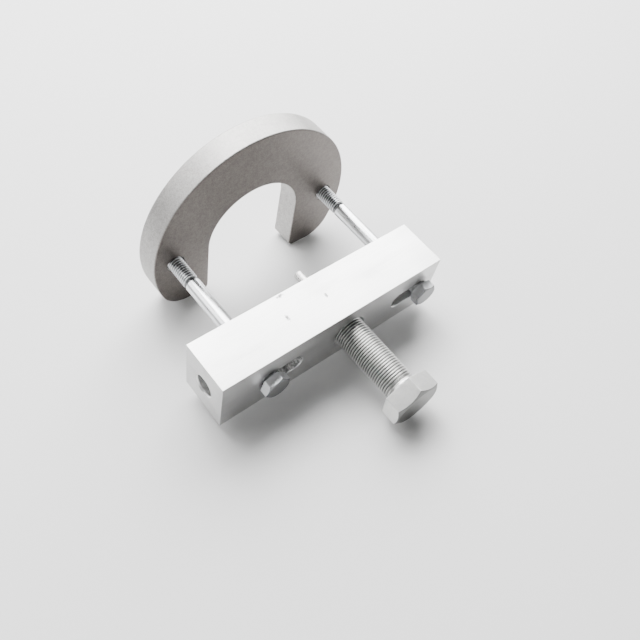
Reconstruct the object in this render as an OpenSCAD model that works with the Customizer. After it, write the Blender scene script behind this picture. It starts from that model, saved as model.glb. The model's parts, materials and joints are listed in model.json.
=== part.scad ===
// Coil spring compressor: a horseshoe pressure plate is held by two draw bolts to a slotted
// cross bar, and a forcing screw through the bar pushes a free-turning pilot pin.
// The tool lies on a bench as it is put down: on the plate's two leg ends and one corner of
// the forcing screw's head. The bench is the plane z = 0, and +Z is up.
// Every piece is drawn first about the forcing screw's axis: y runs along the screw, from its
// head to the plate, x along the bar, and the middle of the bar's depth is y = 0.

/* [Cross bar] */
// Depth of the bar along the forcing screw
bar_depth = 31.75; // [26:0.05:45]
// Height of the bar
bar_height = 38.1; // [30:0.1:60]
// From the left draw bolt's axis to the bar's long end
long_overhang = 31.15; // [26:0.05:60]
// From the right draw bolt's axis to the bar's short end
short_overhang = 11.75; // [9.5:0.05:40]
// Distance of each slot's inner end from the forcing screw's axis
slot_inner = 33.3; // [20:0.1:38]
// Drillings that overlap to make the left slot
slot_drillings = 4; // [2:1:8]
// Diameter of the blind hole in the long end
end_hole_dia = 12.7; // [6:0.1:18]
// Depth of the blind hole's round wall
end_hole_depth = 17; // [8:0.5:20]

/* [Horseshoe plate] */
// Thickness of the plate
plate_thick = 16; // [10:0.5:30]
// Metal between a draw bolt's axis and the plate's rim
plate_rim = 14.25; // [9:0.25:30]
// Width of the U-shaped throat
throat_width = 64; // [40:0.5:80]
// How far the legs reach below the forcing screw's axis
leg_reach = 39; // [30:0.5:50]
// Radius of each leg's outer corner
leg_corner = 18; // [6:0.5:22]
// Radius of each leg's inner corner
throat_corner = 4; // [1:0.5:5]

/* [Draw bolts] */
// Distance between the two draw bolts
bolt_spacing = 109.5; // [96:0.5:150]
// Diameter of the plain shank
shank_dia = 9.2; // [6:0.1:12]
// Outside diameter of the bolt's thread
bolt_thread_dia = 9.4; // [6:0.1:12]
// Length of the bolt's thread
bolt_thread_length = 26.7; // [14:0.1:50]
// Length of thread that is screwed into the plate
bolt_engaged = 10.4; // [6:0.1:15]
// Distance across the flats of the bolt's head
bolt_flats = 14; // [13.6:0.1:22]
// Height of the bolt's head
bolt_head_height = 6; // [4:0.1:10]
// Gap between the bolt heads and the bar
head_gap = 1.2; // [0.4:0.1:10]
// Clear space between the bar and the plate
plate_gap = 58.1; // [30:0.1:120]

/* [Forcing screw] */
// Outside diameter of the screw's thread
screw_dia = 19.05; // [12:0.05:24]
// Length between the bar and the screw's head
screw_exposed = 45.2; // [20:0.1:90]
// Plain run-out of the thread under the screw's head
screw_runout = 4.6; // [2:0.1:8]
// How far the screw's tip lies inside the bar's back face
tip_recess = 0.75; // [0.3:0.05:6]
// Distance across the flats of the screw's head
screw_flats = 28; // [26:0.1:36]
// Height of the screw's head
screw_head_height = 11.8; // [8:0.1:18]

/* [Pilot pin] */
// Diameter of the pin
pin_dia = 5.6; // [5:0.1:9]
// How far the pin stands out behind the bar
pin_reach = 15.4; // [5:0.1:30]
// Diameter of the pin's stem, which turns freely in the screw's tip
stem_dia = 4; // [2:0.1:4.6]
// Depth of the stem's socket in the screw's tip
stem_socket = 12; // [6:0.5:30]
// End play between the pin's shoulder and the screw's tip
shoulder_gap = 0.3; // [0.1:0.05:0.6]

/* [Fits] */
// Pitch of both threads
pitch = 1.5875; // [1:0.0005:2.5]
// Radial clearance of a thread or a stem in its hole
run_clear = 0.05; // [0.02:0.01:0.1]
// Radial clearance of a draw bolt in its slot
slot_clear = 0.95; // [0.5:0.05:1.5]
// Chamfer at the mouths of the holes
mouth_chamfer = 0.8; // [0.3:0.1:1.2]

/* [Hidden] */
$fn = 96;
over = 1;                               // how far a cut runs past the metal
plate_tone = [0.80, 0.79, 0.77];
bar_tone = [0.88, 0.88, 0.87];
zinc_tone = [0.74, 0.76, 0.78];
steel_tone = [0.66, 0.66, 0.65];

// Turn of each hex head about its own axis, as the tool was put down
screw_turn = 36.6;
left_turn = 15;
right_turn = 48;

thread_depth = 0.61 * pitch;            // of a 60 degree V thread
runout_depth = 0.3 * pitch;             // of the shallow end of the screw's thread
bolt_x = bolt_spacing / 2;
slot_r = max(shank_dia, bolt_thread_dia) / 2 + slot_clear;
bar_front = -bar_depth / 2;
bar_back = bar_depth / 2;
plate_r = bolt_x + plate_rim;
plate_front = bar_back + plate_gap;
plate_back = plate_front + plate_thick;
bolt_seat = bar_front - head_gap;
bolt_length = plate_front + bolt_engaged - bolt_seat;
screw_seat = bar_front - screw_exposed;
screw_tip = bar_back - tip_recess;
screw_length = screw_tip - screw_seat;

// Hex heads: a thin round washer face, six flats and a 30 degree chamfer at the free end
washer_face = 0.4;
chamfer_angle = 30;
round_share = 0.475;                    // radius of the washer face and chamfer, per flats
function corner_r(flats) = flats / sqrt(3);
function chamfer_drop(flats) = (corner_r(flats) - round_share * flats) * tan(chamfer_angle);

// The tool tips forward until the lowest corner of the screw's head meets the bench
screw_low = max([for (k = [0:5]) -corner_r(screw_flats) * sin(screw_turn + 60 * k)]);
screw_free = screw_seat - screw_head_height;
low_y = screw_free + chamfer_drop(screw_flats);
tilt = atan2(leg_reach - screw_low, plate_front - low_y);
left_x = -max(bolt_x + long_overhang, plate_r);
right_x = max(bolt_x + short_overhang, plate_r);
near_y = screw_free * cos(tilt) - round_share * screw_flats * sin(tilt);
far_y = plate_back * cos(tilt) + leg_reach * sin(tilt);
rest_shift = [-(left_x + right_x) / 2,
              -(near_y + far_y) / 2,
              leg_reach * cos(tilt) - plate_front * sin(tilt)];

// Stands the tool on the bench, with the middle of its outline over the origin
module on_bench() {
  translate(rest_shift) rotate([tilt, 0, 0]) children();
}

// Turns a piece drawn upwards from z = 0 so that it runs along +y from the given place
module along_y(x, y, turn = 0) {
  translate([x, y, 0]) rotate([-90, 0, 0]) rotate([0, 0, -turn]) children();
}

// Cone that breaks the edge of a hole of radius r; its wide end is the mouth, at z = 0
module mouth(r, chamfer = mouth_chamfer) {
  translate([0, 0, -over]) cylinder(r = r + chamfer, h = over);
  cylinder(r1 = r + chamfer, r2 = r, h = chamfer);
}

// Round rod with thread ridges from z = 0 up; both ends finish in a groove
module threaded_rod(dia, length) {
  crest = dia / 2;
  root = crest - thread_depth;
  turns = floor(length / pitch);
  ridge = length / turns;
  rotate_extrude()
    polygon(concat(
      [[0, 0]],
      [for (k = [0:turns - 1], p = [[root, 1], [crest, 7], [crest, 9], [root, 15]])
        [p[0], (k + p[1] / 16) * ridge]],
      [[root, length], [0, length]]));
}

// Hex head that hangs down from its bearing face at z = 0
module hex_head(flats, height) {
  r = round_share * flats;
  cone_rise = 0.6 * height;
  translate([0, 0, -height / 2]) cylinder(r = r, h = height / 2);
  intersection() {
    translate([0, 0, -height]) cylinder(r = corner_r(flats), h = height - washer_face, $fn = 6);
    union() {
      translate([0, 0, -height])
        cylinder(r1 = r, r2 = r + cone_rise / tan(chamfer_angle), h = cone_rise);
      translate([0, 0, -height + cone_rise])
        cylinder(r = r + cone_rise / tan(chamfer_angle), h = height - cone_rise);
    }
  }
}

// A draw bolt: head, plain shank, relief groove and thread
module draw_bolt(side, turn) {
  groove = 0.9;
  shank_length = bolt_length - bolt_thread_length;
  groove_r = bolt_thread_dia / 2 - thread_depth;
  color(zinc_tone)
  on_bench() along_y(side * bolt_x, bolt_seat, turn) {
    hex_head(bolt_flats, bolt_head_height);
    translate([0, 0, -over]) cylinder(r = shank_dia / 2, h = shank_length - groove + over);
    translate([0, 0, shank_length - over]) cylinder(r = groove_r, h = 2 * over);
    translate([0, 0, shank_length]) threaded_rod(bolt_thread_dia, bolt_thread_length);
  }
}

// Left slot: overlapping drillings leave a scalloped wall. Right slot: milled smooth
module bolt_slots() {
  inner = slot_inner + slot_r;
  step = (bolt_x - inner) / (slot_drillings - 1);
  for (k = [0:slot_drillings - 1])
    along_y(-inner - k * step, bar_front - over) cylinder(r = slot_r, h = bar_depth + 2 * over);
  for (x = [inner, bolt_x])
    along_y(x, bar_front - over) cylinder(r = slot_r, h = bar_depth + 2 * over);
  translate([inner, bar_front - over, -slot_r])
    cube([bolt_x - inner, bar_depth + 2 * over, 2 * slot_r]);
}

// Tapped hole for the forcing screw, with a chamfer at both faces
module screw_hole() {
  r = screw_dia / 2 + run_clear;
  along_y(0, bar_front - over) cylinder(r = r, h = bar_depth + 2 * over);
  along_y(0, bar_front) mouth(r);
  mirror([0, 1, 0]) along_y(0, bar_front) mouth(r);
}

// Blind drilled hole in the bar's long end, with a drill point
module end_hole() {
  r = end_hole_dia / 2;
  translate([-bolt_x - long_overhang, 0, 0]) rotate([0, 90, 0]) {
    translate([0, 0, -over]) cylinder(r = r, h = end_hole_depth + over);
    translate([0, 0, end_hole_depth]) cylinder(r1 = r, r2 = 0, h = r * tan(chamfer_angle));
    mouth(r);
  }
}

module cross_bar() {
  color(bar_tone)
  on_bench() difference() {
    translate([-bolt_x - long_overhang, bar_front, -bar_height / 2])
      cube([bolt_spacing + long_overhang + short_overhang, bar_depth, bar_height]);
    bolt_slots();
    screw_hole();
    end_hole();
  }
}

// What a corner of radius r takes off the outer side of the right leg
module leg_corner_cut() {
  cx = sqrt(pow(plate_r - leg_corner, 2) - pow(leg_reach - leg_corner, 2));
  cy = leg_corner - leg_reach;
  reach = 2 * plate_r;
  difference() {
    polygon([[cx, cy], [cx, -reach], [reach, -reach], [reach, reach * cy / cx]]);
    translate([cx, cy]) circle(r = leg_corner);
  }
}

// What a corner of radius r takes off the throat side of the right leg
module throat_corner_cut() {
  edge = throat_width / 2;
  difference() {
    translate([edge - over, -leg_reach - over]) square(throat_corner + over);
    translate([edge + throat_corner, throat_corner - leg_reach]) circle(r = throat_corner);
  }
}

// Outline of the horseshoe: a disc with a U-shaped throat, cut flat below the legs
module plate_outline() {
  difference() {
    circle(r = plate_r, $fn = 180);
    circle(r = throat_width / 2);
    translate([-throat_width / 2, -2 * plate_r]) square([throat_width, 2 * plate_r]);
    translate([-2 * plate_r, -3 * plate_r]) square([4 * plate_r, 3 * plate_r - leg_reach]);
    for (side = [0, 1])
      mirror([side, 0]) {
        leg_corner_cut();
        throat_corner_cut();
      }
  }
}

module horseshoe_plate() {
  r = bolt_thread_dia / 2 + run_clear;
  color(plate_tone)
  on_bench() difference() {
    translate([0, plate_back, 0]) rotate([90, 0, 0])
      linear_extrude(plate_thick) plate_outline();
    for (x = [-bolt_x, bolt_x]) {
      along_y(x, plate_front - over) cylinder(r = r, h = plate_thick + 2 * over);
      along_y(x, plate_front) mouth(r);
      translate([0, plate_back + plate_front, 0]) mirror([0, 1, 0])
        along_y(x, plate_front) mouth(r);
    }
  }
}

module draw_bolt_left() { draw_bolt(-1, left_turn); }

module draw_bolt_right() { draw_bolt(1, right_turn); }

module forcing_screw() {
  color(steel_tone)
  on_bench() along_y(0, screw_seat, screw_turn) {
    hex_head(screw_flats, screw_head_height);
    difference() {
      union() {
        translate([0, 0, -over])
          cylinder(r = screw_dia / 2 - runout_depth, h = screw_runout + over);
        cylinder(r = screw_dia / 2 - thread_depth, h = screw_runout + over);
        translate([0, 0, screw_runout]) threaded_rod(screw_dia, screw_length - screw_runout);
      }
      translate([0, 0, screw_length - stem_socket])
        cylinder(r = stem_dia / 2 + run_clear, h = stem_socket + over);
    }
  }
}

// The pin's shoulder bears on the screw's tip, and its stem turns in the screw's socket
module pilot_pin() {
  chamfer = 0.6;
  r = pin_dia / 2;
  body_length = tip_recess - shoulder_gap + pin_reach;
  color(steel_tone)
  on_bench() along_y(0, screw_tip + shoulder_gap) {
    translate([0, 0, shoulder_gap - stem_socket]) cylinder(r = stem_dia / 2, h = stem_socket);
    cylinder(r = r, h = body_length - chamfer);
    translate([0, 0, body_length - chamfer]) cylinder(r1 = r, r2 = r - chamfer, h = chamfer);
  }
}

horseshoe_plate();
cross_bar();
draw_bolt_left();
draw_bolt_right();
forcing_screw();
pilot_pin();
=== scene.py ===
"""Coil spring compressor: a horseshoe plate, a slotted cross bar, two draw bolts, a forcing
screw and its pilot pin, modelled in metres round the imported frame."""
import json
import math

import bmesh
import bpy
from bpy.props import (FloatProperty, FloatVectorProperty, IntProperty, PointerProperty)
from mathutils import Matrix, Vector


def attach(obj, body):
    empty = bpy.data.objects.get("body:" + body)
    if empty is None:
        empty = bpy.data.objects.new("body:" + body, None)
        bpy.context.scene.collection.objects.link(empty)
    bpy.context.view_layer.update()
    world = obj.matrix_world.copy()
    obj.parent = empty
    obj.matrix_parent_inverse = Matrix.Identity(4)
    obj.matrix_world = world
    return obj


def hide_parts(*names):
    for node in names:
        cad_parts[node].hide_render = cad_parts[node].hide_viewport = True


bl_info = {
    "name": "Coil Spring Compressor",
    "version": (1, 0, 0),
    "blender": (4, 5, 0),
    "location": "View3D > Sidebar > Compressor",
    "description": "Builds a coil spring compressor piece by piece",
    "category": "Object",
}

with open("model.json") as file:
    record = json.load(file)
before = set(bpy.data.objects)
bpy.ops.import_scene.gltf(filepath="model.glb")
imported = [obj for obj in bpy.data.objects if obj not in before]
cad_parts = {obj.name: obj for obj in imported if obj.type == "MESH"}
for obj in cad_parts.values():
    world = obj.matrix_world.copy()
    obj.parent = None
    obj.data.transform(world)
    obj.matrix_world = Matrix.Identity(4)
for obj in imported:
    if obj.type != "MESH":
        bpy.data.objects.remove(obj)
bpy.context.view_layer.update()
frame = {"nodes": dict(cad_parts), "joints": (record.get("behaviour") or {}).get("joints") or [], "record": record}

FULL_TURN = 2 * math.pi
MM = 0.001
OVER = 1 * MM               # how far a cutter runs past the metal
MERGE = 0.001 * MM          # vertices closer than this are one
PLAIN_END = 0.475                                # radius of a head's plain end, in flats
CHAMFER_SLOPE = math.tan(math.radians(30))       # of a head's end chamfer
FLOOR_HALF = 1.4                                 # metres from the middle to a side
OFF_TURN = math.radians(1.7)                     # keeps one cutter's corners off another's


def joint(name):
    """The frame's joint of that name."""
    return next(j for j in frame["joints"] if j["name"] == name)


def mount(name):
    """The dimensions of the frame's mount of that name, in millimetres."""
    return next(m for m in frame["record"]["mounts"] if m["name"] == name)["dims"]


# The tool's own frame: x along the bar, y along the forcing screw from the bar's front face
# towards the plate, and z square to both.
ACROSS = Vector((1, 0, 0))
ALONG = Vector(joint("screw_turn")["axis"]).normalized()
SQUARE = ACROSS.cross(ALONG)
SCREW_AT = Vector(joint("screw_turn")["pos_m"])
TOOL = (Matrix.Translation(SCREW_AT)
        @ Matrix((ACROSS, ALONG, SQUARE)).transposed().to_4x4())
TILT = math.atan2(ALONG.z, ALONG.y)
UPRIGHT = Matrix.Rotation(-math.pi / 2, 4, "X")      # turns a piece's own +z to the tool's +y


def tool_box(node):
    """Lowest and highest corner of a CAD node in the tool's own frame."""
    back = TOOL.inverted()
    spots = [back @ v.co for v in frame["nodes"][node].data.vertices]
    return (Vector(min(p[i] for p in spots) for i in range(3)),
            Vector(max(p[i] for p in spots) for i in range(3)))


BAR_LOW, BAR_HIGH = tool_box("cross_bar")
PLATE_LOW, PLATE_HIGH = tool_box("horseshoe_plate")
BOLT_LOW, BOLT_HIGH = tool_box("draw_bolt_left")
SCREW_LOW, SCREW_HIGH = tool_box("forcing_screw")
PIN_LOW, PIN_HIGH = tool_box("pilot_pin")
BOLT_X = (Vector(joint("right_bolt_turn")["pos_m"]) - SCREW_AT).dot(ACROSS)
PITCH = frame["record"]["behaviour"]["couplings"][0]["ratio"] * FULL_TURN
THREAD_DEPTH = 0.61 * PITCH
TAPPED_MOUTH = THREAD_DEPTH + 0.15 * MM          # chamfer at a tapped hole's mouth


def length(name, about, value):
    """A size in metres that a user may change."""
    return FloatProperty(name=name, description=about, default=value, min=0,
                         subtype="DISTANCE", unit="LENGTH", precision=5)


def tone(name, about, value):
    """A colour that a user may change."""
    return FloatVectorProperty(name=name, description=about, default=value, size=3, min=0, max=1,
                               subtype="COLOR")


class PlateSettings(bpy.types.PropertyGroup):
    throat_width: length("Throat width", "Width of the U-shaped throat", 64 * MM)
    leg_corner: length("Leg corner", "Radius of each leg's outer corner", 18 * MM)
    throat_corner: length("Throat corner", "Radius of each leg's inner corner", 4 * MM)
    edge: length("Edge rounding", "Radius that the blasting leaves on the edges", 0.9 * MM)
    color: tone("Plate colour", "Blasted aluminium", (0.37, 0.362, 0.352))


class BarSettings(bpy.types.PropertyGroup):
    slot_inner: length("Slot end", "Distance of each slot's inner end from the screw", 33.3 * MM)
    slot_radius: length("Slot radius", "Half the height of a slot", 5.65 * MM)
    drillings: IntProperty(name="Drillings", description="Overlapping holes in the left slot",
                           default=4, min=2, max=8)
    hole_depth: length("End hole depth", "Depth of the end hole's round wall", 17 * MM)
    mouth: length("Mouth chamfer", "Chamfer at the mouths of the holes", 0.8 * MM)
    burr: length("Slot edge", "Chamfer at the drilled slot's mouths", 0.35 * MM)
    edge: length("Broken edge", "Width of the broken edges", 0.22 * MM)
    color: tone("Bar colour", "Machined aluminium", (0.80, 0.80, 0.795))
    # painted light: the slots' walls brighter than the bar, partly from the fresh cut
    lit_cut_color: tone("Slot colour", "Freshly cut aluminium in the slots", (0.90, 0.90, 0.89))


class BoltSettings(bpy.types.PropertyGroup):
    thread_dia: length("Thread", "Outside diameter of the thread", 9.4 * MM)
    shank_dia: length("Shank", "Diameter of the plain shank", 9.2 * MM)
    thread_length: length("Thread length", "Length of the thread", 26.7 * MM)
    groove: length("Groove", "Width of the relief groove before the thread", 0.9 * MM)
    flats: length("Flats", "Distance across the head's flats", 14 * MM)
    head_height: length("Head height", "Height of the head", 6 * MM)
    left_turn: FloatProperty(name="Left turn", description="Turn of the left head",
                             default=math.radians(15), subtype="ANGLE", unit="ROTATION")
    right_turn: FloatProperty(name="Right turn", description="Turn of the right head",
                              default=math.radians(48), subtype="ANGLE", unit="ROTATION")
    color: tone("Bolt colour", "Bright zinc plate", (0.90, 0.915, 0.93))


class ScrewSettings(bpy.types.PropertyGroup):
    thread_dia: length("Thread", "Outside diameter of the thread", 19.05 * MM)
    runout: length("Run-out", "Length over which the thread fades out under the head", 4.6 * MM)
    flats: length("Flats", "Distance across the head's flats", 28 * MM)
    head_height: length("Head height", "Height of the head", 11.8 * MM)
    turn: FloatProperty(name="Turn", description="Turn of the head",
                        default=math.radians(36.6), subtype="ANGLE", unit="ROTATION")
    socket_dia: length("Socket", "Diameter of the socket in the tip", 4.1 * MM)
    socket_depth: length("Socket depth", "Depth of the socket in the tip", 12 * MM)
    color: tone("Screw colour", "Satin zinc plate", (0.78, 0.78, 0.765))


class PinSettings(bpy.types.PropertyGroup):
    stem_dia: length("Stem", "Diameter of the stem in the screw", 4 * MM)
    stem_length: length("Stem length", "Length of the stem below the shoulder", 11.7 * MM)
    chamfer: length("Chamfer", "Chamfer at the free end", 0.6 * MM)
    color: tone("Pin colour", "Ground steel", (0.62, 0.61, 0.60))


class StageSettings(bpy.types.PropertyGroup):
    azimuth: FloatProperty(name="Azimuth", description="Camera's turn about the object",
                           default=math.radians(-43.56), subtype="ANGLE", unit="ROTATION")
    elevation: FloatProperty(name="Elevation", description="Camera's height above the horizon",
                             default=math.radians(48.78), subtype="ANGLE", unit="ROTATION")
    roll: FloatProperty(name="Roll", description="Camera's turn about its own line of sight",
                        default=math.radians(4.86), subtype="ANGLE", unit="ROTATION")
    distance: length("Distance", "From the camera to its target", 390 * MM)
    target: FloatVectorProperty(name="Target", description="Where the camera looks", size=3,
                                default=(-1 * MM, -12 * MM, 27 * MM), subtype="TRANSLATION")
    lens: FloatProperty(name="Lens", description="Focal length in millimetres", default=39.2,
                        min=1)
    floor_color: tone("Floor colour", "Plain pale floor", (0.72, 0.72, 0.72))


class CompressorSettings(bpy.types.PropertyGroup):
    plate: PointerProperty(type=PlateSettings, name="Plate", description="Horseshoe plate")
    bar: PointerProperty(type=BarSettings, name="Bar", description="Cross bar")
    bolt: PointerProperty(type=BoltSettings, name="Bolts", description="Draw bolts")
    screw: PointerProperty(type=ScrewSettings, name="Screw", description="Forcing screw")
    pin: PointerProperty(type=PinSettings, name="Pin", description="Pilot pin")
    stage: PointerProperty(type=StageSettings, name="Stage", description="Camera and floor")


# ---- Mesh tools -------------------------------------------------------------------------

def ring_edges(verts):
    """The edges that join two of these vertices."""
    wanted = set(verts)
    return list({e for v in verts for e in v.link_edges if e.other_vert(v) in wanted})


def stack(bm, levels, segments):
    """A closed solid from a column of rings. A level is (z, radius), and radius may be a
    function of the angle that returns (radius, drop)."""
    ring = bmesh.ops.create_circle(bm, cap_ends=True, segments=segments, radius=1)["verts"]
    made = list(ring)

    def place(verts, z, radius):
        for v in verts:
            angle = math.atan2(v.co.y, v.co.x)
            r, drop = radius(angle) if callable(radius) else (radius, 0)
            v.co = (r * math.cos(angle), r * math.sin(angle), z + drop)

    place(ring, *levels[0])
    for z, radius in levels[1:]:
        grown = bmesh.ops.extrude_edge_only(bm, edges=ring_edges(ring))["geom"]
        ring = [g for g in grown if isinstance(g, bmesh.types.BMVert)]
        made += ring
        place(ring, z, radius)
    bmesh.ops.contextual_create(bm, geom=ring_edges(ring))
    return made


def hex_head(bm, flats, height):
    """A hex head hanging from z = 0: washer face, flats, and a 30 degree chamfer below."""
    washer, slope, plain = 0.4 * MM, CHAMFER_SLOPE, PLAIN_END * flats

    def hexagon(angle):
        return flats / 2 / math.cos((angle % (FULL_TURN / 6)) - FULL_TURN / 12)

    def chamfered(angle):
        return hexagon(angle), (hexagon(angle) - plain) * slope

    return stack(bm, [(-height, plain), (-height, chamfered),
                      (-washer, lambda angle: (hexagon(angle), 0)),
                      (-washer, plain), (0, plain)], 72)


def join(bm, part):
    """Adds a bmesh to another, and frees it."""
    mesh = bpy.data.meshes.new("part")
    part.to_mesh(mesh)
    part.free()
    bm.from_mesh(mesh)
    bpy.data.meshes.remove(mesh)


def thread(low, high, crest, fade_radius=None, fade_length=PITCH, end_chamfer=0,
           segments=64):
    """A bmesh of a right-hand V thread along z with flat ends. It grows out of fade_radius over the fade
    length at the low end, and its crests are chamfered at the high end."""
    root = crest - THREAD_DEPTH
    turns = math.ceil((high - low) / PITCH) + 3
    start = low - PITCH * (1 + 0.37 / segments)     # no vertex falls on the cut at an end
    own = bmesh.new()
    corners = [own.verts.new((r, 0, start + share * PITCH))
               for r, share in ((root, 1 / 16), (crest, 7 / 16), (crest, 9 / 16),
                                (root, 15 / 16), (root, 17 / 16))]
    profile = corners + [own.edges.new(pair) for pair in zip(corners, corners[1:])]
    bmesh.ops.spin(own, geom=profile, cent=(0, 0, 0), axis=(0, 0, 1),
                   dvec=(0, 0, PITCH / segments), angle=FULL_TURN, steps=segments,
                   use_duplicate=False)
    turn = own.verts[:] + own.edges[:] + own.faces[:]
    for k in range(1, turns):
        copy = bmesh.ops.duplicate(own, geom=turn)["geom"]
        bmesh.ops.translate(own, vec=(0, 0, k * PITCH),
                            verts=[g for g in copy if isinstance(g, bmesh.types.BMVert)])
    bmesh.ops.remove_doubles(own, verts=own.verts, dist=MERGE)
    for z, normal in ((low, (0, 0, -1)), (high, (0, 0, 1))):
        bmesh.ops.bisect_plane(own, geom=own.verts[:] + own.edges[:] + own.faces[:],
                               plane_co=(0, 0, z), plane_no=normal, clear_outer=True)
    bmesh.ops.holes_fill(own, edges=[e for e in own.edges if e.is_boundary], sides=0)
    for v in own.verts:
        r = math.hypot(v.co.x, v.co.y)
        wanted = r
        if fade_radius is not None:
            share = min(1, (v.co.z - low) / fade_length)
            wanted = fade_radius + (r - fade_radius) * share
        wanted = min(wanted, crest - end_chamfer + max(0, high - v.co.z))
        v.co.x *= wanted / r
        v.co.y *= wanted / r
    bmesh.ops.recalc_face_normals(own, faces=own.faces)
    return own


def placed(x, y, turn=0):
    """Where a piece drawn up its own z axis goes: along the tool's y, from (x, y)."""
    return TOOL @ Matrix.Translation((x, y, 0)) @ UPRIGHT @ Matrix.Rotation(-turn, 4, "Z")


def break_edges(bm, width, segments=2, angle=25):
    """Rounds every edge sharper than the angle."""
    bmesh.ops.recalc_face_normals(bm, faces=bm.faces)
    sharp = [e for e in bm.edges if e.is_manifold
             and e.calc_face_angle() > math.radians(angle)]
    bmesh.ops.bevel(bm, geom=sharp, offset=width, segments=segments, profile=0.5, material=-1,
                    affect="EDGES", clamp_overlap=True)


def temporary(bm, name):
    """An unseen object from a bmesh, which it frees."""
    mesh = bpy.data.meshes.new(name)
    bmesh.ops.recalc_face_normals(bm, faces=bm.faces)
    bm.to_mesh(mesh)
    bm.free()
    made = bpy.data.objects.new(name, mesh)
    bpy.context.scene.collection.objects.link(made)
    return made


def carve(bm, cutters):
    """The solid less each cutter, as a new bmesh. It frees what it is given."""
    body = temporary(bm, "blank")
    tools = [temporary(cutter, "cutter") for cutter in cutters]
    for tool in tools:
        step = body.modifiers.new("cut", "BOOLEAN")
        step.operation, step.solver, step.object = "DIFFERENCE", "EXACT", tool
    shape = body.evaluated_get(bpy.context.evaluated_depsgraph_get())
    carved = bmesh.new()
    carved.from_mesh(shape.to_mesh())
    shape.to_mesh_clear()
    for made in [body] + tools:
        mesh = made.data
        bpy.data.objects.remove(made)
        bpy.data.meshes.remove(mesh)
    bmesh.ops.remove_doubles(carved, verts=carved.verts, dist=MERGE)
    return carved


def finish_piece(bm, name, body, material, sharp=30, replaces=()):
    """Makes a bmesh a piece of the tool: shaded, named, riding on its body."""
    bmesh.ops.recalc_face_normals(bm, faces=bm.faces)
    for face in bm.faces:
        face.smooth = True
    for edge in bm.edges:
        edge.smooth = not edge.is_manifold or edge.calc_face_angle() < math.radians(sharp)
    mesh = bpy.data.meshes.new(name)
    bm.to_mesh(mesh)
    bm.free()
    mesh.materials.append(material)
    piece = bpy.data.objects.new(name, mesh)
    bpy.context.scene.collection.objects.link(piece)
    flats = piece.modifiers.new("flat faces", "WEIGHTED_NORMAL")
    flats.keep_sharp, flats.weight = True, 100
    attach(piece, body)
    if replaces:
        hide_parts(*replaces)
    return piece


# ---- Finishes ---------------------------------------------------------------------------

def add(tree, kind, inputs=None, **settings):
    """A node with its settings, and its inputs set or linked."""
    node = tree.nodes.new(kind)
    for name, value in settings.items():
        setattr(node, name, value)
    for name, value in (inputs or {}).items():
        socket = node.inputs[name]
        if isinstance(value, bpy.types.NodeSocket):
            tree.links.new(value, socket)
        else:
            socket.default_value = value
    return node


def metal(name, color, roughness):
    """A metal, its tree, its shader, and the object's coordinates in the tool's frame."""
    made = bpy.data.materials.new(name)
    made.use_nodes = True
    made.diffuse_color = (*color, 1)
    tree = made.node_tree
    shader = tree.nodes["Principled BSDF"]
    shader.inputs["Metallic"].default_value = 1
    shader.inputs["Roughness"].default_value = roughness
    shader.inputs["Base Color"].default_value = (*color, 1)
    spot = add(tree, "ShaderNodeTexCoord").outputs["Object"]
    own = add(tree, "ShaderNodeMapping", {"Vector": spot, "Location": SCREW_AT,
                                          "Rotation": (TILT, 0, 0)}, vector_type="TEXTURE")
    return made, tree, shader, own.outputs["Vector"]


def noise(tree, coords, stretch, detail=3):
    """Noise with its own number of cells in a metre along each axis."""
    scaled = add(tree, "ShaderNodeMapping", {"Vector": coords, "Scale": stretch})
    return add(tree, "ShaderNodeTexNoise", {"Vector": scaled.outputs["Vector"], "Scale": 1.0,
                                            "Detail": detail}).outputs["Fac"]


def remap(tree, value, low, high, to_low, to_high):
    """The value moved from one range to another, and kept inside it."""
    return add(tree, "ShaderNodeMapRange", {
        "Value": value, "From Min": low, "From Max": high,
        "To Min": to_low, "To Max": to_high}).outputs["Result"]


def times(tree, first, second):
    """The product of two values."""
    made = add(tree, "ShaderNodeMath", {0: first, 1: second}, operation="MULTIPLY")
    return made.outputs["Value"]


def shade(tree, color, share):
    """The colour times a value from 0 to 1."""
    made = add(tree, "ShaderNodeVectorMath", {0: color, "Scale": share}, operation="SCALE")
    return made.outputs["Vector"]


def bump(tree, shader, height, strength, distance):
    """Gives the shader a relief."""
    made = add(tree, "ShaderNodeBump", {"Height": height, "Strength": strength,
                                        "Distance": distance})
    tree.links.new(made.outputs["Normal"], shader.inputs["Normal"])


def on_faces(tree, own, axis, low, high, blend):
    """1 on a slab's two faces square to an axis, falling to 0 as its edges turn."""
    height = add(tree, "ShaderNodeSeparateXYZ", {"Vector": own}).outputs[axis]
    off = add(tree, "ShaderNodeMath", {0: height, 1: (low + high) / 2}, operation="SUBTRACT")
    off = add(tree, "ShaderNodeMath", {0: off.outputs["Value"]}, operation="ABSOLUTE")
    half = (high - low) / 2
    return remap(tree, off.outputs["Value"], half - blend, half - 0.05 * MM, 0.0, 1.0)


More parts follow.
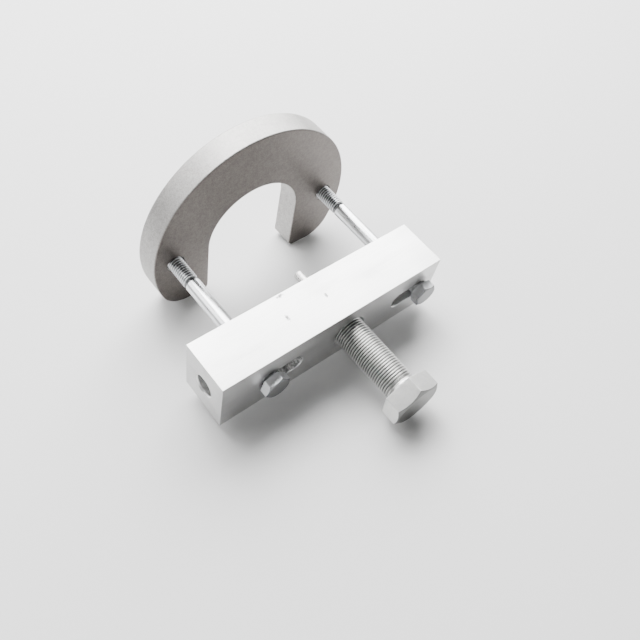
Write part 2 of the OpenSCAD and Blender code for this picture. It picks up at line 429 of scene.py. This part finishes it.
def blasted_metal(name, color):
    """Bead-blasted aluminium: pits, a mottle and smudges, and painted shade that makes its two
    faces darker and warmer than the turned rim."""
    made, tree, shader, own = metal(name, color, 0.5)
    grain = noise(tree, own, (1300, 1300, 1300), 3)
    mottle = noise(tree, own, (420, 420, 420), 4)
    smudge = noise(tree, own, (26, 26, 26), 3)
    share = times(tree, remap(tree, grain, 0.32, 0.68, 0.78, 1.16),
                  times(tree, remap(tree, mottle, 0.32, 0.68, 0.91, 1.07),
                        remap(tree, smudge, 0.45, 0.72, 1.03, 0.93)))
    # painted shade: the plate's two faces darker and warmer than its rim
    on_face = on_faces(tree, own, "Y", PLATE_LOW.y, PLATE_HIGH.y, 0.7 * MM)
    shaded_face_color = [c * f for c, f in zip(color, PAINTED_FACE_SHADE)]
    painted_shade_tint = add(tree, "ShaderNodeMix", {0: on_face, 6: (*color, 1), 7: (*shaded_face_color, 1)},
               data_type="RGBA").outputs[2]          # the colour sockets, which share their names
    tree.links.new(shade(tree, painted_shade_tint, share), shader.inputs["Base Color"])
    tree.links.new(remap(tree, grain, 0.3, 0.7, 0.44, 0.58), shader.inputs["Roughness"])
    bump(tree, shader, grain, 0.6, 0.10 * MM)
    return made


# Knocks on the bar's top, in the tool's own frame: centre x and y, then half sizes in x and y
KNOCKS = ((-33.4 * MM, 16.6 * MM, 1.2 * MM, 2.2 * MM),
          (-6.8 * MM, 17.1 * MM, 1.0 * MM, 1.8 * MM),
          (-28.3 * MM, 30.1 * MM, 3.0 * MM, 1.1 * MM))


def knocks(tree, own):
    """1 on clean metal, falling to 0 in the middle of each knock."""
    ragged = remap(tree, noise(tree, own, (900, 900, 900), 2), 0.3, 0.7, -0.45, 0.45)
    clean = 1.0
    for x, y, wide, long in KNOCKS:
        off = add(tree, "ShaderNodeVectorMath", {0: own, 1: (x, y, BAR_HIGH.z)},
                  operation="SUBTRACT").outputs["Vector"]
        sized = add(tree, "ShaderNodeVectorMath", {0: off, 1: (1 / wide, 1 / long, 1 / MM)},
                    operation="MULTIPLY").outputs["Vector"]
        far = add(tree, "ShaderNodeVectorMath", {0: sized}, operation="LENGTH")
        rough = add(tree, "ShaderNodeMath", {0: far.outputs["Value"], 1: ragged},
                    operation="ADD").outputs["Value"]
        clean = times(tree, clean, remap(tree, rough, 0.35, 1.0, 0.0, 1.0))
    return clean


def milled_metal(name, color):
    """Milled aluminium: fine lines along the bar, smears and a few dark knocks on top, and painted shade on its
    four sides.
    """
    made, tree, shader, own = metal(name, color, 0.36)
    lines = noise(tree, own, (55, 2600, 2600), 2)
    smear = noise(tree, own, (30, 75, 75), 4)
    clean = knocks(tree, own)
    share = times(tree, remap(tree, lines, 0.25, 0.75, 0.92, 1.04),
                  times(tree, remap(tree, smear, 0.56, 0.72, 1.0, 0.90),
                        remap(tree, clean, 0, 1, 0.22, 1.0)))
    # painted shade: the bar's four sides darker than its top
    for axis, low, high in (("Y", BAR_LOW.y, BAR_HIGH.y), ("X", BAR_LOW.x, BAR_HIGH.x)):
        shaded_side = on_faces(tree, own, axis, low, high, 0.2 * MM)
        share = times(tree, share, remap(tree, shaded_side, 0, 1, 1.0, PAINTED_SIDE_SHADE))
    tree.links.new(shade(tree, color, share), shader.inputs["Base Color"])
    tree.links.new(remap(tree, smear, 0.35, 0.7, 0.34, 0.40), shader.inputs["Roughness"])
    bump(tree, shader, times(tree, lines, clean), 0.25, 0.04 * MM)
    return made


PAINTED_FACE_SHADE = (0.51, 0.475, 0.455)                  # painted shade: a face darker and warmer than the rim
PAINTED_VALLEY_SHADE = 0.20                               # painted shade in the thread's bottom next to its crest
PAINTED_END_SHADE = 0.24                                  # painted shade on the end of a head next to its flats
PAINTED_SIDE_SHADE = 0.72                                 # painted shade: the bar's sides next to its milled top
HEAD_DULLER = 1.35           # how much rougher a head is than its shank


def cut_metal(name, color):
    """The slots' walls: brighter than the bar, partly from the fresh cut and partly painted light, with marks from
    the drill across them.
    """
    made, tree, shader, own = metal(name, color, 0.45)
    shader.inputs["Metallic"].default_value = 0.6
    marks = noise(tree, own, (900, 700, 900), 3)
    patch = noise(tree, own, (260, 190, 260), 2)
    share = times(tree, remap(tree, marks, 0.38, 0.62, 0.55, 1.10),
                  remap(tree, patch, 0.42, 0.62, 1.0, 0.45))
    tree.links.new(shade(tree, color, share), shader.inputs["Base Color"])
    bump(tree, shader, marks, 1.0, 0.22 * MM)
    return made


def plated_metal(name, color, roughness, axis_x=0, crest=None, seat=0, head=None):
    """Zinc-plated steel. Past its seat a threaded one carries painted shade in the thread's bottom, and the
    end of its head (flats, height) is duller and carries painted shade."""
    made, tree, shader, own = metal(name, color, roughness)
    centred = add(tree, "ShaderNodeVectorMath", {0: own, 1: (axis_x, 0, 0)},
                  operation="SUBTRACT").outputs["Vector"]
    flat = add(tree, "ShaderNodeVectorMath", {0: centred, 1: (1, 0, 1)},
               operation="MULTIPLY").outputs["Vector"]
    radius = add(tree, "ShaderNodeVectorMath", {0: flat}, operation="LENGTH").outputs["Value"]
    cloud = noise(tree, own, (420, 420, 420), 4)
    share, dull = remap(tree, cloud, 0.3, 0.7, 0.94, 1.03), 1.0
    if crest is not None:
        height = add(tree, "ShaderNodeSeparateXYZ", {"Vector": own}).outputs["Y"]
        in_head = add(tree, "ShaderNodeMath", {0: height, 1: seat}, operation="LESS_THAN")
        # painted shade: darker towards the thread's bottom
        valley_shade = remap(tree, radius, crest - THREAD_DEPTH, crest, PAINTED_VALLEY_SHADE, 1.0)
        depth = add(tree, "ShaderNodeMath", {0: valley_shade, 1: in_head.outputs["Value"]},
                    operation="MAXIMUM")
        flats, tall = head
        slope = remap(tree, radius, PLAIN_END * flats, flats, 0.0,
                      (1 - PLAIN_END) * flats * CHAMFER_SLOPE)
        above = add(tree, "ShaderNodeMath", {0: height, 1: slope}, operation="SUBTRACT")
        # painted shade: the end of the head darker than its flats
        end = remap(tree, above.outputs["Value"], seat - tall + 0.08 * MM,
                    seat - tall + 0.28 * MM, PAINTED_END_SHADE, 1.0)
        share = times(tree, times(tree, share, depth.outputs["Value"]), end)
        dull = remap(tree, in_head.outputs["Value"], 0, 1, 1.0, HEAD_DULLER)
    tree.links.new(shade(tree, color, share), shader.inputs["Base Color"])
    gloss = remap(tree, cloud, 0.3, 0.7, roughness * 0.93, roughness * 1.1)
    tree.links.new(times(tree, gloss, dull), shader.inputs["Roughness"])
    bump(tree, shader, noise(tree, own, (1500, 1500, 1500), 2), 0.10, 0.02 * MM)
    return made


# ---- Pieces -----------------------------------------------------------------------------

def outline(bm, runs):
    """Edges in the x-z plane along a row of arcs, with straights between them. A run is
    (centre x, centre z, radius, first angle, last angle, steps)."""
    last = None
    for x, z, radius, first, end, steps in runs:
        start = bm.verts.new((x + radius * math.cos(first), 0, z + radius * math.sin(first)))
        if last:
            bm.edges.new((last, start))
        spun = bmesh.ops.spin(bm, geom=[start], cent=(x, 0, z), axis=(0, -1, 0),
                              dvec=(0, 0, 0), angle=end - first, steps=steps,
                              use_duplicate=False)["geom_last"]
        last = next(g for g in spun if isinstance(g, bmesh.types.BMVert))


def channel(profile, levels):
    """A cutter along the tool's y. A level is (y, radius), and profile(radius) gives the runs of
    its outline."""
    bm = bmesh.new()
    loops = []
    for y, radius in levels:
        older = set(bm.verts)
        outline(bm, profile(radius))
        loop = [v for v in bm.verts if v not in older]
        bm.edges.new([v for v in loop if len(v.link_edges) == 1])
        bmesh.ops.translate(bm, vec=(0, y, 0), verts=loop)
        loops.append(ring_edges(loop))
    caps = loops[0], loops[-1]
    for near, far in zip(loops, loops[1:]):
        bmesh.ops.bridge_loops(bm, edges=near + far)
    for loop in caps:
        bmesh.ops.contextual_create(bm, geom=loop)
    bmesh.ops.remove_doubles(bm, verts=bm.verts, dist=MERGE)
    bmesh.ops.transform(bm, matrix=TOOL, verts=bm.verts)
    return bm


def countersink(x, y, radius, chamfer, facing):
    """A cutter that breaks the mouth of a hole; facing is the way the metal lies in y."""
    bm = bmesh.new()
    levels = [(-OVER, radius + chamfer + OVER), (chamfer, radius)]
    stack(bm, [(facing * z, r) for z, r in levels], 60)
    bmesh.ops.transform(bm, matrix=placed(x, y, OFF_TURN), verts=bm.verts)
    return bm


def tap(x, low, high, clear_radius):
    """A thread cutter along the tool's y, whose smallest radius clears the crests."""
    bm = thread(low - OVER, high + OVER, clear_radius + THREAD_DEPTH)
    bmesh.ops.transform(bm, matrix=placed(x, 0), verts=bm.verts)
    return bm


def settings():
    """The tool's settings in this scene."""
    return bpy.context.scene.compressor


class COMPRESSOR_OT_horseshoe_plate(bpy.types.Operator):
    """Build the horseshoe plate with its two tapped holes"""
    bl_idname = "compressor.horseshoe_plate"
    bl_label = "Horseshoe plate"

    def execute(self, context):
        size = settings().plate
        bolt = settings().bolt
        rim, foot = PLATE_HIGH.x, PLATE_LOW.z
        half = size.throat_width / 2
        corner, inner = size.leg_corner, size.throat_corner
        corner_z = foot + corner
        corner_x = math.sqrt((rim - corner) ** 2 - corner_z ** 2)
        tangent = math.atan2(corner_z, corner_x)
        quarter = math.pi / 2
        bm = bmesh.new()
        outline(bm, [(0, 0, rim, quarter, tangent, 90),
                     (corner_x, corner_z, corner, tangent, -quarter, 16),
                     (half + inner, foot + inner, inner, -quarter, -2 * quarter, 8),
                     (0, 0, half, 0, quarter, 40)])
        half_edges = bm.verts[:] + bm.edges[:]
        bmesh.ops.mirror(bm, geom=half_edges, axis="X", merge_dist=MERGE)
        bmesh.ops.remove_doubles(bm, verts=bm.verts, dist=MERGE)
        face = bmesh.ops.contextual_create(bm, geom=bm.edges[:])["faces"]
        grown = bmesh.ops.extrude_face_region(bm, geom=face, use_keep_orig=True)["geom"]
        bmesh.ops.translate(bm, vec=(0, PLATE_HIGH.y - PLATE_LOW.y, 0),
                            verts=[g for g in grown if isinstance(g, bmesh.types.BMVert)])
        break_edges(bm, size.edge, 4, 60)
        bmesh.ops.translate(bm, vec=(0, PLATE_LOW.y, 0), verts=bm.verts)
        bmesh.ops.transform(bm, matrix=TOOL, verts=bm.verts)
        clear = bolt.thread_dia / 2 + 0.05 * MM
        cutters = []
        for x in (-BOLT_X, BOLT_X):
            cutters += [tap(x, PLATE_LOW.y, PLATE_HIGH.y, clear),
                        countersink(x, PLATE_LOW.y, clear, TAPPED_MOUTH, 1),
                        countersink(x, PLATE_HIGH.y, clear, TAPPED_MOUTH, -1)]
        finish_piece(carve(bm, cutters), "horseshoe_plate_body", "plate",
                     blasted_metal("blasted aluminium", size.color),
                     replaces=["horseshoe_plate"])
        return {"FINISHED"}


class COMPRESSOR_OT_cross_bar(bpy.types.Operator):
    """Build the cross bar with its slots, tapped hole and end hole"""
    bl_idname = "compressor.cross_bar"
    bl_label = "Cross bar"

    def execute(self, context):
        size = settings().bar
        screw = settings().screw
        bm = bmesh.new()
        bmesh.ops.create_cube(bm, size=1)
        bmesh.ops.scale(bm, vec=BAR_HIGH - BAR_LOW, verts=bm.verts)
        break_edges(bm, size.edge)
        bmesh.ops.translate(bm, vec=(BAR_HIGH + BAR_LOW) / 2, verts=bm.verts)
        bmesh.ops.transform(bm, matrix=TOOL, verts=bm.verts)
        nearest = size.slot_inner + size.slot_radius
        mouths = [(BAR_LOW.y - OVER, size.burr + OVER), (BAR_LOW.y + size.burr, 0),
                  (BAR_HIGH.y - size.burr, 0), (BAR_HIGH.y + OVER, size.burr + OVER)]
        levels = [(y, size.slot_radius + wider) for y, wider in mouths]
        cutters = [channel(lambda r: self.drilled(size.drillings, nearest, r), levels),
                   channel(lambda r: self.milled(nearest, r), levels)]
        clear = screw.thread_dia / 2 + 0.05 * MM
        cutters += [tap(0, BAR_LOW.y, BAR_HIGH.y, clear),
                    countersink(0, BAR_LOW.y, clear, TAPPED_MOUTH, 1),
                    countersink(0, BAR_HIGH.y, clear, TAPPED_MOUTH, -1),
                    self.end_drill(size)]
        piece = finish_piece(carve(bm, cutters), "cross_bar_body", "bar",
                             milled_metal("milled aluminium", size.color),
                             replaces=["cross_bar"])
        piece.data.materials.append(cut_metal("cut aluminium", size.lit_cut_color))
        for face in piece.data.polygons:
            face.material_index = int(self.in_slot(face, size))
        return {"FINISHED"}

    def in_slot(self, face, size):
        """True on a slot's wall."""
        spot = TOOL.inverted() @ face.center
        return (abs(face.normal.dot(ALONG)) < 0.5 and abs(spot.z) <= size.slot_radius
                and size.slot_inner - MM < abs(spot.x) < BOLT_X + size.slot_radius + MM)

    def milled(self, nearest, radius):
        """The right slot's outline: two half circles."""
        quarter = math.pi / 2
        return [(nearest, 0, radius, quarter, 3 * quarter, 32),
                (BOLT_X, 0, radius, -quarter, quarter, 32)]

    def drilled(self, count, nearest, radius):
        """The left slot's outline: a row of overlapping holes."""
        step = (BOLT_X - nearest) / (count - 1)
        centres = [-BOLT_X + k * step for k in range(count)]
        cusp, half_turn = math.acos(step / 2 / radius), math.pi
        below = [(x, 0, radius, half_turn + cusp, FULL_TURN - cusp, 12) for x in centres[1:-1]]
        above = [(x, 0, radius, cusp, half_turn - cusp, 12) for x in reversed(centres[1:-1])]
        return [(centres[0], 0, radius, cusp, FULL_TURN - cusp, 48), *below,
                (centres[-1], 0, radius, half_turn + cusp, 3 * half_turn - cusp, 48), *above]

    def end_drill(self, size):
        """The end hole's cutter: mouth, round wall and drill point, along the tool's x."""
        radius = mount("bar_end_hole")["r_mm"] * MM
        bm = bmesh.new()
        stack(bm, [(-OVER, radius + size.mouth + OVER), (size.mouth, radius),
                   (size.hole_depth, radius),
                   (size.hole_depth + 0.54 * radius, 0.05 * radius)], 64)
        middle = (BAR_LOW.y + BAR_HIGH.y) / 2
        along = (Matrix.Translation((BAR_LOW.x, middle, 0))
                 @ Matrix.Rotation(math.pi / 2, 4, "Y"))
        bmesh.ops.transform(bm, matrix=TOOL @ along, verts=bm.verts)
        return bm


class COMPRESSOR_OT_draw_bolts(bpy.types.Operator):
    """Build the two draw bolts"""
    bl_idname = "compressor.draw_bolts"
    bl_label = "Draw bolts"

    def execute(self, context):
        size = settings().bolt
        for side, name, turn in ((-1, "left", size.left_turn), (1, "right", size.right_turn)):
            self.bolt(size, side * BOLT_X, name, turn)
        return {"FINISHED"}

    def bolt(self, size, x, name, turn):
        seat = BOLT_LOW.y + size.head_height
        total = BOLT_HIGH.y - seat
        plain = total - size.thread_length
        crest = size.thread_dia / 2
        neck = crest - THREAD_DEPTH
        bm = bmesh.new()
        hex_head(bm, size.flats, size.head_height)
        break_edges(bm, 0.22 * MM)
        stack(bm, [(-0.2 * MM, size.shank_dia / 2), (plain - size.groove, size.shank_dia / 2),
                   (plain - size.groove, neck), (plain + 0.2 * MM, neck)], 64)
        join(bm, thread(plain, total, crest, fade_radius=neck, end_chamfer=THREAD_DEPTH))
        bmesh.ops.transform(bm, matrix=placed(x, seat, turn), verts=bm.verts)
        finish_piece(bm, f"draw_bolt_{name}_body", f"{name}_bolt",
                     plated_metal(f"bright zinc {name}", size.color, 0.29, x, crest, seat,
                                  (size.flats, size.head_height)),
                     replaces=[f"draw_bolt_{name}"])


class COMPRESSOR_OT_forcing_screw(bpy.types.Operator):
    """Build the forcing screw"""
    bl_idname = "compressor.forcing_screw"
    bl_label = "Forcing screw"

    def execute(self, context):
        size = settings().screw
        seat = SCREW_LOW.y + size.head_height
        total = SCREW_HIGH.y - seat
        crest = size.thread_dia / 2
        runout = crest - 0.3 * PITCH
        bm = bmesh.new()
        hex_head(bm, size.flats, size.head_height)
        break_edges(bm, 0.3 * MM)
        neck = 0.6 * MM
        stack(bm, [(-0.2 * MM, runout), (neck + 0.2 * MM, runout)], 96)
        rod = thread(neck, total, crest, fade_radius=runout, fade_length=size.runout,
                     end_chamfer=THREAD_DEPTH, segments=72)
        socket = bmesh.new()
        stack(socket, [(total - size.socket_depth, size.socket_dia / 2),
                       (total + OVER, size.socket_dia / 2)], 48)
        join(bm, carve(rod, [socket]))
        bmesh.ops.transform(bm, matrix=placed(0, seat, size.turn), verts=bm.verts)
        finish_piece(bm, "forcing_screw_body", "screw",
                     plated_metal("satin zinc", size.color, 0.30, 0, crest, seat,
                                  (size.flats, size.head_height)),
                     replaces=["forcing_screw"])
        return {"FINISHED"}


class COMPRESSOR_OT_pilot_pin(bpy.types.Operator):
    """Build the pilot pin"""
    bl_idname = "compressor.pilot_pin"
    bl_label = "Pilot pin"

    def execute(self, context):
        size = settings().pin
        radius = mount("pilot_pin_end")["r_mm"] * MM
        stem = size.stem_dia / 2
        shoulder = PIN_LOW.y + size.stem_length
        bm = bmesh.new()
        stack(bm, [(PIN_LOW.y, stem), (shoulder, stem), (shoulder, radius),
                   (PIN_HIGH.y - size.chamfer, radius), (PIN_HIGH.y, radius - size.chamfer)], 64)
        break_edges(bm, 0.1 * MM)
        bmesh.ops.transform(bm, matrix=placed(0, 0), verts=bm.verts)
        finish_piece(bm, "pilot_pin_body", "pin",
                     plated_metal("ground steel", size.color, 0.26),
                     replaces=["pilot_pin"])
        return {"FINISHED"}


class COMPRESSOR_OT_stage(bpy.types.Operator):
    """Set up the floor, the soft lights and the camera"""
    bl_idname = "compressor.stage"
    bl_label = "Stage"

    def execute(self, context):
        size = settings().stage
        self.floor(size)
        self.camera(size)
        for name, at, span, power in (("key", (0.62, 0.80, 0.95), 1.3, 76),
                                      ("top", (-0.06, 0.62, 1.20), 0.7, 24),
                                      ("left", (-0.90, 0.72, 0.92), 0.9, 13),
                                      ("right", (1.30, 0.50, 0.55), 0.8, 3),
                                      ("front", (-0.60, -0.75, 1.10), 0.5, 2.5)):
            self.softbox(name, Vector(at), span, power)
        self.sky(context.scene)
        return {"FINISHED"}

    def sky(self, scene):
        """A pale studio wall round the floor, dim overhead."""
        world = bpy.data.worlds.new("studio")
        world.use_nodes = True
        tree = world.node_tree
        way = add(tree, "ShaderNodeTexCoord").outputs["Generated"]
        rise = add(tree, "ShaderNodeSeparateXYZ", {"Vector": way}).outputs["Z"]
        glow = remap(tree, rise, 0.10, 0.35, 0.72, 0.05)
        tree.links.new(glow, tree.nodes["Background"].inputs["Strength"])
        tree.nodes["Background"].inputs["Color"].default_value = (1, 1, 1, 1)
        scene.world = world

    def floor(self, size):
        bm = bmesh.new()
        bmesh.ops.create_grid(bm, x_segments=1, y_segments=1, size=FLOOR_HALF)
        mesh = bpy.data.meshes.new("floor")
        bm.to_mesh(mesh)
        bm.free()
        paint = bpy.data.materials.new("floor paint")
        paint.use_nodes = True
        shader = paint.node_tree.nodes["Principled BSDF"]
        shader.inputs["Base Color"].default_value = (*size.floor_color, 1)
        shader.inputs["Roughness"].default_value = 0.8
        mesh.materials.append(paint)
        floor = bpy.data.objects.new("floor", mesh)
        bpy.context.scene.collection.objects.link(floor)

    def camera(self, size):
        data = bpy.data.cameras.new("camera")
        data.lens = size.lens
        data.clip_start = 10 * MM
        camera = bpy.data.objects.new("camera", data)
        a, e = size.azimuth, size.elevation
        back = Vector((math.sin(a) * math.cos(e), -math.cos(a) * math.cos(e), math.sin(e)))
        turn = (-back).to_track_quat("-Z", "Y").to_matrix().to_4x4()
        camera.matrix_world = (Matrix.Translation(Vector(size.target) + back * size.distance)
                               @ turn @ Matrix.Rotation(size.roll, 4, "Z"))
        bpy.context.scene.collection.objects.link(camera)
        bpy.context.scene.camera = camera

    def softbox(self, name, at, span, power):
        data = bpy.data.lights.new(name, "AREA")
        data.shape, data.size, data.energy = "SQUARE", span, power
        light = bpy.data.objects.new(name, data)
        light.location = at
        light.rotation_euler = (-at).to_track_quat("-Z", "Y").to_euler()
        bpy.context.scene.collection.objects.link(light)


BUILD_ORDER = (COMPRESSOR_OT_horseshoe_plate, COMPRESSOR_OT_cross_bar,
               COMPRESSOR_OT_draw_bolts, COMPRESSOR_OT_forcing_screw,
               COMPRESSOR_OT_pilot_pin, COMPRESSOR_OT_stage)


class COMPRESSOR_PT_pieces(bpy.types.Panel):
    """Buttons for each piece and for the stage"""
    bl_idname = "COMPRESSOR_PT_pieces"
    bl_label = "Coil spring compressor"
    bl_space_type = "VIEW_3D"
    bl_region_type = "UI"
    bl_category = "Compressor"

    def draw(self, context):
        for step in BUILD_ORDER:
            self.layout.operator(step.bl_idname)


CLASSES = (PlateSettings, BarSettings, BoltSettings, ScrewSettings, PinSettings,
           StageSettings, CompressorSettings, *BUILD_ORDER, COMPRESSOR_PT_pieces)


def register():
    for item in CLASSES:
        bpy.utils.register_class(item)
    bpy.types.Scene.compressor = PointerProperty(type=CompressorSettings)


def unregister():
    del bpy.types.Scene.compressor
    for item in reversed(CLASSES):
        bpy.utils.unregister_class(item)


def main():
    register()
    bpy.ops.compressor.horseshoe_plate()
    bpy.ops.compressor.cross_bar()
    bpy.ops.compressor.draw_bolts()
    bpy.ops.compressor.forcing_screw()
    bpy.ops.compressor.pilot_pin()
    bpy.ops.compressor.stage()


if __name__ == "__main__":
    main()
